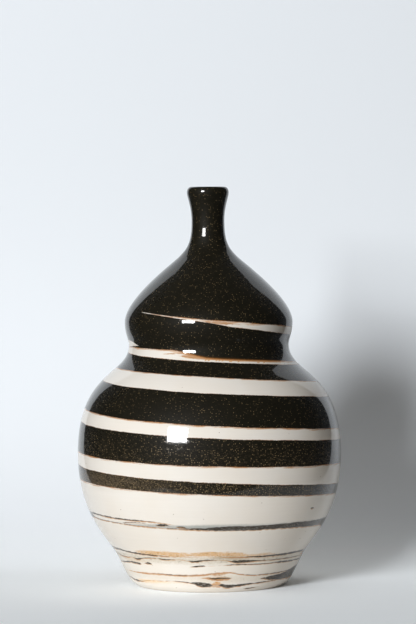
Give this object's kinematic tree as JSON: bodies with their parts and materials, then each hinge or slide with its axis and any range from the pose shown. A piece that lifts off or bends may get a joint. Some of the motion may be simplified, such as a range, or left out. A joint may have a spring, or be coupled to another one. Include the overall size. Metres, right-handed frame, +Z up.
{
  "type": "double-gourd bottle vase",
  "caption": "Glossy double-gourd bottle vase in marbled clay, with a pinched neck, a small upper bulb, a waist, a wide belly and a narrow foot.",
  "frame": {"origin": "centre of the foot, on the surface that the vase stands on", "axes": "+Z up along the axis of the pot; -Y towards the pictured side, where the pale sliver starts left of the middle"},
  "size_m": [0.1658, 0.1657, 0.25],
  "materials": {
    "dark_clay": "near-black brown stoneware clay with fine golden-brown iron specks under a clear gloss glaze",
    "light_clay": "warm cream stoneware clay with faint throwing lines and rust-brown seams under a clear gloss glaze"
  },
  "bodies": {
    "root": {"dark_neck": "dark_clay", "dark_bulb_crown": "dark_clay", "light_bulb_sliver": "light_clay", "dark_bulb_band": "dark_clay", "light_waist_band": "light_clay", "dark_waist_band": "dark_clay", "light_shoulder_band": "light_clay", "dark_shoulder_band": "dark_clay", "light_upper_belly_band": "light_clay", "dark_belly_band": "dark_clay", "light_belly_band": "light_clay", "dark_lower_belly_band": "dark_clay", "light_lower_belly_band": "light_clay", "dark_lower_streak": "dark_clay", "light_ankle_band": "light_clay", "dark_ankle_streak": "dark_clay", "light_foot_rise": "light_clay", "light_foot": "light_clay"}
  },
  "joints": []
}
